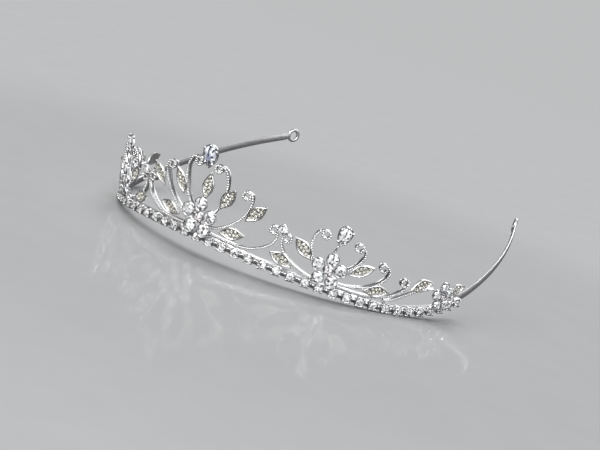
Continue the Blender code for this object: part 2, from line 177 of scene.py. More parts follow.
# Outward lean of each part of the crest, in degrees.
CENTRE_LEAN = 15.0
SIDE_LEAN = 12.0
LOW_SCROLL_LEAN = 6.0
END_LEAN = 3.0

# name: (s, t, back d, lean and turn in degrees, petal circle radius, petal radius, middle stone radius)
FLOWERS = {
    "centre_flower": (0.0, 6.6, 2.0, 10.0, 0.0, 4.75, 2.3, 1.65),
    "side_flower": (45.2, 6.9, 2.0, 8.0, -4.0, 4.2, 2.1, 1.5),
    "end_flower": (90.6, 5.4, 2.3, END_LEAN, 8.0, 3.45, 1.85, 1.2),
}

# name: (lean, (loop centre s, loop centre t, loop radius, turn), points of the run), turn +1 anticlockwise
RIBBONS = {
    "lyre": (CENTRE_LEAN, (3.75, 25.2, 1.3, 1), [
        (2.6, 5.4), (4.7, 9.9), (6.1, 12.4), (7.1, 15.8), (7.75, 20.2), (7.5, 22.9), (6.8, 25.0),
        (5.7, 26.4)]),
    "centre_scroll": (CENTRE_LEAN, (14.5, 20.4, 1.35, 1), [
        (2.4, 4.0), (5.6, 4.6), (9.0, 6.6), (11.7, 8.85), (13.9, 11.4), (15.5, 14.1), (16.4, 17.2),
        (16.6, 19.4), (16.1, 21.2)]),
    "inner_span_wire": (SIDE_LEAN, (25.2, 12.7, 1.35, 1), [
        (2.8, 2.1), (13.0, 2.1), (17.9, 2.8), (21.1, 4.1), (23.7, 5.8), (25.8, 8.1), (26.7, 10.6)]),
    "outer_span_wire": (SIDE_LEAN, (30.1, 11.6, 1.35, -1), [
        (42.4, 2.1), (40.0, 2.15), (37.2, 2.9), (34.0, 4.0), (31.3, 5.7), (29.3, 7.9), (28.4, 10.4)]),
    "side_inner_scroll": (SIDE_LEAN, (41.1, 18.1, 1.4, -1), [
        (42.2, 6.6), (39.8, 8.9), (38.3, 11.2), (37.6, 14.1), (37.9, 16.6), (38.9, 18.6)]),
    "side_upper_scroll": (SIDE_LEAN, (52.6, 17.6, 1.4, 1), [
        (48.0, 6.6), (51.3, 8.9), (53.0, 10.5), (54.4, 12.8), (55.2, 15.2), (54.9, 17.2)]),
    "side_lower_scroll": (SIDE_LEAN, (63.0, 13.4, 1.4, 1), [
        (47.2, 3.3), (50.2, 3.2), (53.8, 3.5), (57.9, 4.5), (61.0, 5.9), (63.6, 7.8), (65.4, 10.4),
        (65.5, 12.6)]),
    "ball_scroll": (LOW_SCROLL_LEAN, (73.6, 9.45, 1.45, 1), [
        (47.6, 2.1), (55.0, 2.1), (61.5, 2.2), (66.3, 2.9), (70.0, 4.2), (73.0, 6.0), (74.6, 7.9)]),
    "end_wire": (END_LEAN, None, [
        (68.0, 2.1), (71.4, 3.05), (75.5, 5.1), (79.6, 6.8), (84.0, 7.7), (89.0, 7.2)]),
}

# name: (s and t of the leaf's middle, direction of its tip in degrees, lean)
LEAVES = {
    "centre_leaf": (0.0, 17.6, 90.0, 8.0),
    "lyre_leaf": (8.8, 17.0, 66.0, CENTRE_LEAN),
    "scroll_leaf": (18.7, 16.3, 55.0, CENTRE_LEAN),
    "lower_leaf": (12.4, 6.1, 18.0, CENTRE_LEAN),
    "span_leaf": (30.0, 4.6, 160.0, SIDE_LEAN),
    "side_inner_leaf": (35.9, 11.2, 138.0, SIDE_LEAN),
    "side_outer_leaf": (55.6, 10.8, 36.0, SIDE_LEAN),
    "side_lower_leaf": (62.9, 5.4, 13.5, SIDE_LEAN),
    "end_inner_leaf": (80.3, 9.6, 24.0, END_LEAN),
    "end_outer_leaf": (99.4, 5.6, 13.0, END_LEAN),
}

# name: (s, t, lean, tilt of the round end in degrees, length, width)
PEARS = {
    "centre_pear": (0.0, 28.3, CENTRE_LEAN, 90.0, 8.2, 5.7),
    "side_pear": (46.5, 19.7, SIDE_LEAN, 82.0, 7.4, 4.9),
}

# Frames of the pear and square stones: a wall, a floor behind the stone, and ball prongs. The pears' prongs
# stand at these shares of the outline, which starts at its point.
FRAME_FLOOR = (0.05, 0.2)
FRAME_GRIP = 0.9
PEAR_D = 0.45
PEAR_DEPTH = 1.4
PEAR_STEPS = 10
PEAR_WALL = 0.34
PEAR_WALL_DROP = 0.2
PEAR_EDGE_R = 0.1
PEAR_FLOOR_INSET = 0.3
PEAR_CROWN = 0.75
PEAR_PAVILION = 0.9
PEAR_GIRDLE_DROP = 0.45
PRONG_R = 0.5
PRONG_DROP = 0.15
PRONG_REACH = 0.96
PRONG_SHARES = (0.1, 0.9, 0.325, 0.5, 0.675)
SIDE_STEM = [(45.15, 12.3), (45.75, 15.6)]
STEM_R = 0.38
STEM_STEP = 0.5
STEM_BALL_R = 1.25 * STEM_R
SQUARE_S = 27.9
SQUARE_T = 14.4
SQUARE_SIDE = 3.1
SQUARE_CORNER = 0.3
SQUARE_D = 1.7
SQUARE_DEPTH = 1.2
SQUARE_WALL = 0.28
SQUARE_WALL_DROP = 0.25
SQUARE_EDGE_R = 0.08
SQUARE_CROWN = 0.45
SQUARE_PAVILION = 0.7
SQUARE_GIRDLE_DROP = 0.4
SQUARE_TABLE = 0.62
SQUARE_PRONG_R = 0.26
SQUARE_PRONG_INSET = 0.42
SQUARE_PRONG_DROP = 0.14

# Outlines and cuts, as shares of a size: the handle that makes a quarter circle of a cubic stretch, a pear's
# shoulder and flare, how far a corner bulges, and the facets of a stone.
ARC_HANDLE = 0.5523
PEAR_SHOULDER = 0.45
PEAR_FLARE = 0.45
CORNER_BULGE = 0.45
MITRE_LIMIT = 0.6
GEM_TABLE = 0.56
GEM_GIRDLE = 0.08
GEM_STAR = (0.8, 0.6)
GEM_INNER = (0.25, 0.77)
SMALL_GEM_TABLE = 0.55

# name: (dark tone, light tone, roughness from and to, stretch, scale and relief of the tool marks)
EVEN = (1.0, 1.0, 1.0)
LENGTHWISE = (0.06, 7.0, 7.0)
METALS = {
    "polished_rhodium": ((0.70, 0.71, 0.73), (0.84, 0.84, 0.85), (0.08, 0.2), EVEN, 3.0, 0.25),
    # The beaded, pavé and chain tones are the same rhodium set lighter, as painted light that keeps small
    # parts bright.
    "beaded_rhodium": ((0.86, 0.86, 0.87), (0.96, 0.96, 0.96), (0.12, 0.22), EVEN, 2.5, 0.15),
    # The webs' rhodium is set darker than the beads', as painted shade on the ribbons' faces.
    "smooth_rhodium_painted_shade": ((0.62, 0.62, 0.63), (0.78, 0.78, 0.79), (0.14, 0.26), EVEN, 2.5, 0.3),
    "pave_rhodium": ((0.80, 0.80, 0.80), (0.92, 0.92, 0.91), (0.24, 0.36), EVEN, 2.5, 0.3),
    "chain_rhodium": ((0.82, 0.82, 0.83), (0.94, 0.94, 0.94), (0.14, 0.26), EVEN, 3.0, 0.25),
    "satin_rhodium": ((0.68, 0.68, 0.69), (0.80, 0.80, 0.81), (0.3, 0.44), LENGTHWISE, 2.0, 0.5),
}
CLOUD_SCALE = 0.5
MARKS_DETAIL = 5.0
MARKS_DEPTH = 0.02
NOISE_RANGE = (0.3, 0.7)

# name: (bright facet, dark facet, scatter of the facets, rings of facets, deep tone in its middle if any)
# The bright and dark facet tones are painted inner reflections and glints over each crystal's tint.
STONES = {
    "clear_crystal": ((1.0, 1.0, 1.0), (0.52, 0.53, 0.55), 0.9, 2.3, None),
    "pear_crystal": ((1.0, 1.0, 1.0), (0.50, 0.51, 0.54), 0.8, 3.4, None),
    "bluish_crystal": ((0.95, 0.97, 1.0), (0.42, 0.45, 0.55), 0.8, 3.4, (0.20, 0.23, 0.36)),
    "champagne_crystal": ((1.0, 0.98, 0.91), (0.46, 0.44, 0.36), 0.9, 2.3, None),
    "middle_crystal": ((1.0, 0.95, 0.96), (0.50, 0.46, 0.48), 0.9, 2.3, None),
}
FACETS_IN_MIDDLE = 8.0
MIRROR_SHARE = 0.34
MIRROR_DRAW = (5.0, 0.0, 0.0)
HEART_REACH = (0.2, 0.55)
HEART_SHARE = (0.85, 0.0)
STONE_ROUGHNESS = (0.04, 0.12)
POLISH_SCALE = 2.0
COAT_ROUGHNESS = 0.02

# Floor: it fades away from FADE_START to FADE_END metres from the tiara, its gloss between MIRROR_START and
# MIRROR_END.
FLOOR_RADIUS = 6.0
FADE_START = 0.5
FADE_END = 2.0
PALE = (0.515, 0.52, 0.524)
FLOOR_TONE = (0.77, 0.775, 0.78)
FLOOR_GRAIN = 60.0
FLOOR_GRAIN_SHADE = 0.98
FLOOR_ROUGHNESS = (0.8, 0.9)
FLOOR_MIRROR = 0.1
FLOOR_MIRROR_ROUGHNESS = 0.07
MIRROR_START = 0.15
MIRROR_END = 0.28
REFLECTED_TONE = (0.17, 0.17, 0.174)
ROOM_LOW = (0.02, 0.02, 0.021)
ROOM_HIGH = (0.30, 0.305, 0.31)

# Soft boxes: name: (place, size, watts, colour)
WHITE = (1.0, 1.0, 1.0)
SOFTBOXES = {
    "key_light": ((-0.7, -3.0, 1.9), (3.0, 2.4), 150.0, (1.0, 0.99, 0.97)),
    "fill_light": ((3.2, -1.4, 1.2), (1.8, 2.4), 85.0, (0.97, 0.98, 1.0)),
    "back_light": ((-0.6, 3.2, 1.9), (3.0, 1.8), 60.0, WHITE),
    "top_light": ((0.2, 0.5, 3.2), (2.2, 2.2), 15.0, WHITE),
    "side_light": ((2.2, 2.0, 0.7), (2.2, 1.2), 3.5, WHITE),
}
SOFTBOX_TARGET = (0.0, -0.02, 0.01)
OVERHEAD_FROM = (-0.35, 0.4, 1.0)
OVERHEAD_SPREAD = 70.0
OVERHEAD_STRENGTH = 1.7

# Camera: place in metres, angles in degrees, lens in millimetres.
CAMERA_PLACE = (0.2774, -0.5068, 0.1140)
CAMERA_AZIMUTH = 28.6
CAMERA_ELEVATION = 10.22
CAMERA_ROLL = 18.11
CAMERA_LENS = 96.1


# ---- the headband's path, as in the CAD

def band_height(y):
    """Height of the strip's centreline above the table at depth y."""
    run = y - LOW_Y
    if run < 0.0:
        return LOW_Z + FRONT_RISE * (run / (FRONT_DEPTH + LOW_Y)) ** 2
    return LOW_Z + REAR_SLOPE * (math.hypot(run, REAR_BEND) - REAR_BEND)


def band_plan(angle):
    """Centreline point of the strip's right half, angle 0 at the front and 90 degrees at the side."""
    depth = FRONT_DEPTH if angle < math.pi / 2 else REAR_SWEEP
    y = -depth * math.cos(angle)
    return Vector((HALF_WIDTH * math.sin(angle), y, band_height(y)))


def path_lengths(path):
    """Distance of each point from the first, along the path."""
    lengths = [0.0]
    for before, after in zip(path, path[1:]):
        lengths.append(lengths[-1] + (after - before).length)
    return lengths


def locate(lengths, reach):
    """Number of the step of a path that a distance falls in, and the share of that step."""
    i = min(max(bisect.bisect_right(lengths, reach) - 1, 0), len(lengths) - 2)
    return i, (reach - lengths[i]) / (lengths[i + 1] - lengths[i])


BAND_POINTS = [band_plan(math.radians(BAND_STEP * i)) for i in range(int(BAND_END / BAND_STEP) + 1)]
BAND_LENGTHS = path_lengths(BAND_POINTS)


def band_frame(s):
    """Centre point, level tangent and level outward normal of the strip at distance s, on either side."""
    side = -1.0 if s < 0.0 else 1.0
    i, part = locate(BAND_LENGTHS, abs(s))
    point = BAND_POINTS[i].lerp(BAND_POINTS[i + 1], part)
    middle = BAND_POINTS[i + 1] - BAND_POINTS[i]
    start = middle + (BAND_POINTS[i] - BAND_POINTS[max(i - 1, 0)])
    end = middle + (BAND_POINTS[min(i + 2, len(BAND_POINTS) - 1)] - BAND_POINTS[i + 1])
    if i == 0:
        start = Vector((1.0, 0.0, 0.0)) * end.length
    tangent = start.lerp(end, part)
    tangent.z = 0.0
    tangent.normalize()
    point.x *= side
    tangent.y *= side
    normal = Vector((tangent.y, -tangent.x, 0.0))
    return point, tangent, normal


def band_surface(s, t, d, lean=0.0):
    """World point, in metres, of the flat drawing's point (s, t, d) on a crest with this lean."""
    point, _, normal = band_frame(s)
    angle = math.radians(lean)
    outward = d * math.cos(angle) + t * math.sin(angle)
    up = t * math.cos(angle) - d * math.sin(angle)
    world = point + normal * outward + Vector((0.0, 0.0, up))
    world.y -= ORIGIN_Y
    return world * MM


def seat(s, t, d, lean, direction=90.0):
    """Matrix of a rigid piece on the crest: local Y along direction in the drawing, local Z outward."""
    normal = band_frame(s)[2]
    angle = math.radians(lean)
    outward = normal * math.cos(angle) - Vector((0.0, 0.0, math.sin(angle)))
    step_s = 0.5 * math.cos(math.radians(direction))
    step_t = 0.5 * math.sin(math.radians(direction))
    ahead = band_surface(s + step_s, t + step_t, d, lean)
    behind = band_surface(s - step_s, t - step_t, d, lean)
    along = ahead - behind
    along -= outward * along.dot(outward)
    along.normalize()
    across = along.cross(outward)
    rotation = Matrix((across, along, outward)).transposed().to_4x4()
    return Matrix.Translation(band_surface(s, t, d, lean)) @ rotation @ Matrix.Scale(MM, 4)


def seated(matrix):
    """Placer of a rigid piece."""
    return lambda x, y, z: matrix @ Vector((x, y, z))


def bent(lean=0.0):
    """Placer that bends a flat drawing round the headband."""
    return lambda x, y, z: band_surface(x, y, z, lean)


# ---- solids in millimetres

class Shape:
    """Points and faces of one piece. Each point also keeps its place in the drawing, for the materials."""

    def __init__(self):
        self.points = []
        self.flats = []
        self.faces = []
        self.smooth = []
        self.slots = []

    def add(self, solid, place, slot=0):
        """Adds a (points, faces, caps) solid: its faces smooth shaded, its caps flat."""
        points, faces, caps = solid
        first = len(self.points)
        self.points += [place(*point) for point in points]
        self.flats += [tuple(point) for point in points]
        for group, is_smooth in ((faces, True), (caps, False)):
            self.faces += [tuple(first + i for i in face) for face in group]
            self.smooth += [is_smooth] * len(group)
            self.slots += [slot] * len(group)

    def mirrored(self):
        """The same piece on the other side of the plane X = 0."""
        other = Shape()
        other.points = [Vector((-point.x, point.y, point.z)) for point in self.points]
        other.flats = self.flats
        other.faces = [tuple(reversed(face)) for face in self.faces]
        other.smooth = self.smooth
        other.slots = self.slots
        return other


def path_normals(path, closed):
    """Sideways direction, to the left of travel, at each point of a flat path, mitred at corners."""
    normals = []
    last = len(path) - 1
    for i, point in enumerate(path):
        before = path[i - 1] if closed or i > 0 else None
        after = path[(i + 1) % len(path)] if closed or i < last else None
        arriving = (point - before).normalized() if before is not None else None
        leaving = (after - point).normalized() if after is not None else arriving
        arriving = arriving or leaving
        along = (arriving + leaving).normalized()
        mitre = 1.0 / max(MITRE_LIMIT, along.dot(leaving))
        normals.append(Vector((-along.y, along.x)) * mitre)
    return normals


def wall(path, section, closed=False):
    """Solid swept along a flat path. The section is an outline of (sideways, up) points."""
    count = len(section)
    points = []
    for point, normal in zip(path, path_normals(path, closed)):
        points += [(point.x + normal.x * o, point.y + normal.y * o, z) for o, z in section]
    rings = len(path)
    faces = []
    for i in range(rings if closed else rings - 1):
        here = i * count
        there = (i + 1) % rings * count
        for j in range(count):
            k = (j + 1) % count
            faces.append((here + j, here + k, there + k, there + j))
    caps = [] if closed else [tuple(range(count)), tuple(range((rings - 1) * count, rings * count))]
    return points, faces, caps


def turned(profile, steps):
    """Solid of revolution about Z. The profile runs from pole to pole as (radius, height)."""
    rings = profile[1:-1]
    angles = [2 * math.pi * i / steps for i in range(steps)]
    points = [(r * math.cos(a), r * math.sin(a), z) for r, z in rings for a in angles]
    top = len(points)
    points += [(0.0, 0.0, profile[0][1]), (0.0, 0.0, profile[-1][1])]
    last = (len(rings) - 1) * steps
    faces = []
    for i in range(steps):
        j = (i + 1) % steps
        faces.append((top, i, j))
        faces.append((top + 1, last + j, last + i))
        for ring in range(0, last, steps):
            faces.append((ring + i, ring + steps + i, ring + steps + j, ring + j))
    return points, faces, []


def ball(radius, x=0.0, y=0.0, z=0.0, steps=10):
    """Ball about a point."""
    half = steps // 2
    turns = [math.pi * i / half for i in range(half + 1)]
    profile = [(radius * math.sin(turn), radius * math.cos(turn)) for turn in turns]
    points, faces, caps = turned(profile, steps)
    return [(px + x, py + y, pz + z) for px, py, pz in points], faces, caps


def rounded(left, right, bottom, top, radius, steps=3):
    """Rounded rectangle section as (sideways, up) points."""
    corners = [(right - radius, bottom + radius, -90.0), (right - radius, top - radius, 0.0),
               (left + radius, top - radius, 90.0), (left + radius, bottom + radius, 180.0)]
    section = []
    for x, y, start in corners:
        for i in range(steps + 1):
            angle = math.radians(start + 90.0 * i / steps)
            section.append((x + radius * math.cos(angle), y + radius * math.sin(angle)))
    return section


def flattened_wire(half_wide, half_high):
    """Superellipse section as (sideways, up) points."""
    section = []
    for i in range(STRIP_SECTION_POINTS):
        angle = 2 * math.pi * (i + 0.5) / STRIP_SECTION_POINTS
        c, d = math.cos(angle), math.sin(angle)
        section.append((math.copysign(half_wide * abs(c) ** (2 / STRIP_SQUARENESS), c),
                        math.copysign(half_high * abs(d) ** (2 / STRIP_SQUARENESS), d)))
    return section


def disc_section(radius, x, y, steps=8):
    """Round section about a point."""
    angles = [2 * math.pi * i / steps for i in range(steps)]
    return [(x + radius * math.cos(angle), y + radius * math.sin(angle)) for angle in angles]


def plate(outline, bottom, top):
    """Flat plate with a convex outline."""
    count = len(outline)
    points = [(p.x, p.y, z) for z in (bottom, top) for p in outline]
    sides = [(i, (i + 1) % count, count + (i + 1) % count, count + i) for i in range(count)]
    return points, [], sides + [tuple(range(count)), tuple(range(count, 2 * count))]


def circle(radius, steps, x=0.0, y=0.0):
    """Anticlockwise circle as a flat path."""
    return [Vector(point) for point in disc_section(radius, x, y, steps)]


def bezier(a, b, c, d, steps):
    """Points of a cubic stretch, without its last one."""
    run = []
    for i in range(steps):
        u = i / steps
        v = 1.0 - u
        run.append(a * v ** 3 + b * 3 * v * v * u + c * 3 * v * u * u + d * u ** 3)
    return run


def pear(length, width, steps):
    """Anticlockwise pear outline about its middle: pointed at -Y and round at +Y."""
    half_l = length / 2
    half_w = width / 2
    round_y = half_l - half_w
    k = ARC_HANDLE * half_w
    side_drop = round_y - (round_y + half_l) * PEAR_SHOULDER
    tip = Vector((0.0, -half_l))
    right = Vector((half_w, round_y))
    top = Vector((0.0, half_l))
    left = Vector((-half_w, round_y))
    flare = half_w * PEAR_FLARE
    return (bezier(tip, tip + Vector((flare, flare)), Vector((half_w, side_drop)), right, steps)
            + bezier(right, right + Vector((0.0, k)), top + Vector((k, 0.0)), top, steps)
            + bezier(top, top - Vector((k, 0.0)), left + Vector((0.0, k)), left, steps)
            + bezier(left, Vector((-half_w, side_drop)), tip + Vector((-flare, flare)), tip, steps))


def square(side, steps=1, corner=0.0):
    """Anticlockwise square outline standing on one corner, its corners rounded or its sides in steps."""
    half = side / math.sqrt(2.0)
    corners = [Vector((half, 0.0)), Vector((0.0, half)), Vector((-half, 0.0)), Vector((0.0, -half))]
    outline = []
    for i, point in enumerate(corners):
        after = corners[(i + 1) % 4]
        before = corners[i - 1]
        if corner > 0.0:
            start = point + (before - point).normalized() * corner
            end = point + (after - point).normalized() * corner
            middle = (start + end) / 2
            outline += [start, middle + (point - middle) * CORNER_BULGE, end]
        else:
            outline += [point.lerp(after, j / steps) for j in range(steps)]
    return outline


def gem(outline, crown, pavilion, z, table=GEM_TABLE):
    """Brilliant cut on a girdle outline of 16 points: its points, crown faces and pavilion faces."""
    points = []
    for k in range(8):
        points.append((*(outline[2 * k] * table), z + crown))
    for k in range(8):
        points.append((*(outline[2 * k + 1] * GEM_STAR[0]), z + crown * GEM_STAR[1]))
    for level in (z, z - GEM_GIRDLE):
        points += [(*point, level) for point in outline]
    for k in range(8):
        points.append((*(outline[2 * k + 1] * GEM_INNER[0]), z - GEM_GIRDLE - pavilion * GEM_INNER[1]))
    points.append((0.0, 0.0, z - GEM_GIRDLE - pavilion))
    star, upper, lower, inner, culet = 8, 16, 32, 48, 56
    crown_faces = [tuple(range(8))]
    back_faces = []
    for k in range(8):
        before, after = (k - 1) % 8, (k + 1) % 8
        a, b, c = 2 * k, 2 * k + 1, (2 * k + 2) % 16
        crown_faces += [
            (k, after, star + k), (k, star + k, upper + a, star + before),
            (star + k, upper + a, upper + b), (star + k, upper + b, upper + c),
            (upper + a, upper + b, lower + b, lower + a), (upper + b, upper + c, lower + c, lower + b)]
        back_faces += [
            (culet, inner + before, lower + a, inner + k),
            (inner + k, lower + a, lower + b), (inner + k, lower + b, lower + c)]
    return points, crown_faces, back_faces


def small_gem(radius, crown, pavilion, z):
    """Eight-sided small stone."""
    ring = circle(radius, 8)
    points = [(p.x * SMALL_GEM_TABLE, p.y * SMALL_GEM_TABLE, z + crown) for p in ring]
    points += [(p.x, p.y, z) for p in ring]
    points.append((0.0, 0.0, z - pavilion))
    crown_faces = [tuple(range(8))]
    back_faces = []
    for i in range(8):
        j = (i + 1) % 8
        crown_faces.append((i, 8 + i, 8 + j, j))
        back_faces.append((8 + i, 16, 8 + j))
    return points, crown_faces, back_faces


def add_gem(shape, cut, place, reach_x, reach_y, x=0.0, y=0.0):
    """Puts a stone about (x, y) in a shape.

    Its drawing runs from -1 to 1 in x and y, and has a number of its own as height.
    """
    points, crown_faces, back_faces = cut
    first = len(shape.points)
    shape.points += [place(px + x, py + y, pz) for px, py, pz in points]
    shape.flats += [(px / reach_x, py / reach_y, float(first)) for px, py, _ in points]
    faces = crown_faces + back_faces
    shape.faces += [tuple(first + i for i in face) for face in faces]
    shape.smooth += [False] * len(faces)
    shape.slots += [0] * len(faces)


# ---- pieces

PIECES = bpy.data.collections.new("tiara")
bpy.context.scene.collection.children.link(PIECES)


def add_piece(name, shape, materials, node):
    """Object from a shape, standing for a CAD node and riding on the tiara."""
    mesh = bpy.data.meshes.new(name)
    mesh.from_pydata(shape.points, [], shape.faces)
    mesh.polygons.foreach_set("use_smooth", shape.smooth)
    mesh.polygons.foreach_set("material_index", shape.slots)
    attribute = mesh.attributes.new("flat", "FLOAT_VECTOR", "POINT")
    attribute.data.foreach_set("vector", [value for point in shape.flats for value in point])
    bm = bmesh.new()
    bm.from_mesh(mesh)
    bmesh.ops.recalc_face_normals(bm, faces=bm.faces)
    bm.to_mesh(mesh)
    bm.free()
    for material in materials:
        mesh.materials.append(material)
    obj = bpy.data.objects.new(name, mesh)
    PIECES.objects.link(obj)
    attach(obj, "root")
    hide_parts(node)


def add_pieces(name, ending, shape, materials, on_middle=False):
    """One piece in the middle, or a right-hand piece and its mirror image, for NAME_right and NAME_left."""
    if on_middle:
        add_piece(name + "_" + ending, shape, materials, name)
        return
    add_piece(name + "_right_" + ending, shape, materials, name + "_right")
    add_piece(name + "_left_" + ending, shape.mirrored(), materials, name + "_left")


# ---- materials

class Nodes:
    """Short way to write a material's node tree."""

    def __init__(self, tree):
        self.tree = tree

    def new(self, kind, **values):
        """Node with settings (attributes) and inputs given by name."""
        node = self.tree.nodes.new("ShaderNode" + kind)
        for key, value in values.items():
            if hasattr(node, key):
                setattr(node, key, value)
            else:
                node.inputs[key.replace("_", " ")].default_value = value
        return node

    def link(self, source, target):
        """Joins an output to an input."""
        self.tree.links.new(source, target)

    def fill(self, sockets, values):
        """Sets inputs, in their order, from outputs or plain values; None leaves one as it is."""
        for socket, value in zip(sockets, values):
            if isinstance(value, bpy.types.NodeSocket):
                self.link(value, socket)
            elif value is not None:
                socket.default_value = value

    def calculate(self, operation, first, second=None):
        """Arithmetic on outputs or plain numbers."""
        node = self.new("Math", operation=operation)
        self.fill(node.inputs, (first, second))
        return node.outputs["Value"]

    def vector(self, operation, first, second=None, output="Vector"):
        """Arithmetic on vector outputs or plain vectors."""
        node = self.new("VectorMath", operation=operation)
        self.fill(node.inputs, (first, second))
        return node.outputs[output]

    def mix(self, factor, first, second):
        """Mix of two colours, each an output or a plain colour."""
        node = self.new("Mix", data_type="RGBA")
        colours = [(*colour, 1.0) if isinstance(colour, tuple) else colour for colour in (first, second)]
        self.fill([socket for socket in node.inputs if socket.enabled], (factor, *colours))
        return next(socket for socket in node.outputs if socket.enabled)

    def mix_shaders(self, factor, first, second):
        """Mix of two shader outputs."""
        node = self.new("MixShader")
        self.fill(node.inputs, (factor, first, second))
        return node.outputs["Shader"]

    def drawing(self, scale=EVEN):
        """Millimetre coordinates of the flat drawing, stretched by scale."""
        source = self.new("Attribute", attribute_name="flat")
        return self.vector("MULTIPLY", source.outputs["Vector"], scale)

    def noise(self, vector, scale, detail=3.0):
        """Noise value between 0 and 1."""
        node = self.new("TexNoise", Scale=scale, Detail=detail)
        self.link(vector, node.inputs["Vector"])
        return node.outputs["Fac"]

    def random(self, cell):
        """Random value and random colour of a cell."""
        node = self.new("TexWhiteNoise", noise_dimensions="3D")
        self.link(cell, node.inputs["Vector"])
        return node.outputs["Value"], node.outputs["Color"]

    def ramp(self, value, start, end, low, high):
        """Smooth change from low at start to high at end."""
        node = self.new("MapRange", interpolation_type="SMOOTHSTEP")
        self.fill(node.inputs, (value, start, end, low, high))
        return node.outputs["Result"]

    def spread(self, value, low, high):
        """Maps the middle of a noise's range to low..high."""
        return self.ramp(value, *NOISE_RANGE, low, high)

    def facet_cell(self, rings):
        """Vector of a stone's facet (wedge, ring, the stone's own number), and distance from its middle."""
        split = self.new("SeparateXYZ")
        self.link(self.drawing(), split.inputs[0])
        x, y, number = split.outputs
        squares = self.calculate("ADD", self.calculate("MULTIPLY", x, x), self.calculate("MULTIPLY", y, y))
        reach = self.calculate("SQRT", squares)
        ring = self.calculate("FLOOR", self.calculate("MULTIPLY", reach, rings))
        turn = self.calculate("DIVIDE", self.calculate("ARCTAN2", y, x), 2 * math.pi)
        wedges = self.calculate("MULTIPLY", self.calculate("ADD", ring, 1.0), FACETS_IN_MIDDLE)
        wedge = self.calculate("FLOOR", self.calculate("MULTIPLY", turn, wedges))
        cell = self.new("CombineXYZ")
        self.fill(cell.inputs, (wedge, ring, number))
        return cell.outputs["Vector"], reach

    def bump(self, value, strength, distance):
        """Normal from a height."""
        node = self.new("Bump", Strength=strength, Distance=distance)
        self.link(value, node.inputs["Height"])
        return node.outputs["Normal"]


def new_material(name):
    """Empty node material: its node helper and its Principled shader."""
    material = bpy.data.materials.new(name)
    material.use_nodes = True
    nodes = Nodes(material.node_tree)
    return material, nodes, material.node_tree.nodes["Principled BSDF"]


def metal(name):
    """Plated metal: a cloudy tone between dark and light, uneven polish and fine tool marks."""
    dark, light, rough, stretch, grain, relief = METALS[name]
    material, nodes, shader = new_material(name)
    shader.inputs["Metallic"].default_value = 1.0
    cloud = nodes.spread(nodes.noise(nodes.drawing(), CLOUD_SCALE), 0.0, 1.0)
    tone = nodes.mix(cloud, dark, light)
    marks = nodes.noise(nodes.drawing(stretch), grain, MARKS_DETAIL)
    nodes.link(tone, shader.inputs["Base Color"])
    nodes.link(nodes.spread(marks, *rough), shader.inputs["Roughness"])
    nodes.link(nodes.bump(marks, relief, MARKS_DEPTH * MM), shader.inputs["Normal"])
    return material


def cut_stone(name):
    """Foil-backed cut stone: a mosaic of painted inner reflections under a clear polished surface."""
    bright, dark, scatter, rings, heart = STONES[name]
    material, nodes, shader = new_material(name)
    cell, reach = nodes.facet_cell(rings)
    shade, tilt = nodes.random(cell)
    # Painted reflections: each facet cell gets a random tone between the dark and the bright facet.
    tone = nodes.mix(shade, dark, bright)
    if heart:
        tone = nodes.mix(nodes.ramp(reach, *HEART_REACH, *HEART_SHARE), tone, heart)
    nodes.link(tone, shader.inputs["Base Color"])
    mirror = nodes.random(nodes.vector("ADD", cell, MIRROR_DRAW))[0]
    nodes.link(nodes.calculate("GREATER_THAN", mirror, 1.0 - MIRROR_SHARE), shader.inputs["Metallic"])
    polish = nodes.noise(nodes.drawing(), POLISH_SCALE)
    nodes.link(nodes.spread(polish, *STONE_ROUGHNESS), shader.inputs["Roughness"])
    tilt = nodes.vector("SUBTRACT", tilt, (0.5, 0.5, 0.5))
    tilt = nodes.vector("MULTIPLY", tilt, (scatter, scatter, scatter))
    tilted = nodes.vector("ADD", nodes.new("NewGeometry").outputs["Normal"], tilt)
    nodes.link(nodes.vector("NORMALIZE", tilted), shader.inputs["Normal"])
    shader.inputs["Coat Weight"].default_value = 1.0
    shader.inputs["Coat Roughness"].default_value = COAT_ROUGHNESS
    return material


POLISHED = metal("polished_rhodium")
BEADED = metal("beaded_rhodium")
WEB = metal("smooth_rhodium_painted_shade")
PAVE = metal("pave_rhodium")
CHAIN = metal("chain_rhodium")
SATIN = metal("satin_rhodium")
CLEAR = cut_stone("clear_crystal")
PEAR_CLEAR = cut_stone("pear_crystal")
PEAR_BLUISH = cut_stone("bluish_crystal")
CHAMPAGNE = cut_stone("champagne_crystal")
ROSY = cut_stone("middle_crystal")


# ---- headband, eyelets, cup chain

def build_headband():
    """Smooth strip whose last stretch narrows into the eyelets."""
    end = STRIP_HALF_LENGTH + EYELET_GAP + NECK_REACH
    count = round((end - FRONT_FLAT_HALF) / STRIP_STEP)
    step = (end - FRONT_FLAT_HALF) / count
    right = [FRONT_FLAT_HALF + step * i for i in range(count + 1)]
    stations = [-s for s in reversed(right)] + right
    section = flattened_wire(STRIP_HEIGHT / 2, STRIP_THICKNESS / 2)
    points, faces, caps = wall([Vector((s, 0.0)) for s in stations], section)
    narrowed = []
    for s, t, d in points:
        share = max(0.0, (abs(s) - (end - NECK_LENGTH)) / NECK_LENGTH)
        narrowed.append((s, t * (1.0 - NECK_NARROWING * share * share), d))
    shape = Shape()
    shape.add((narrowed, faces, caps), bent())
    add_piece("headband_strip", shape, [SATIN], "headband")


def build_eyelets():
    """Washer-like rings with rounded edges."""
    half = EYELET_THICKNESS / 2
    section = rounded(0.0, EYELET_OUTER_R - EYELET_HOLE_R, -half, half, EYELET_EDGE_R, 5)
    shape = Shape()
    place = seated(seat(STRIP_HALF_LENGTH + EYELET_GAP + EYELET_OUTER_R, 0.0, 0.0, 0.0, 0.0))
    shape.add(wall(circle(EYELET_OUTER_R, 48), section, closed=True), place)
    add_pieces("eyelet", "ring", shape, [SATIN])


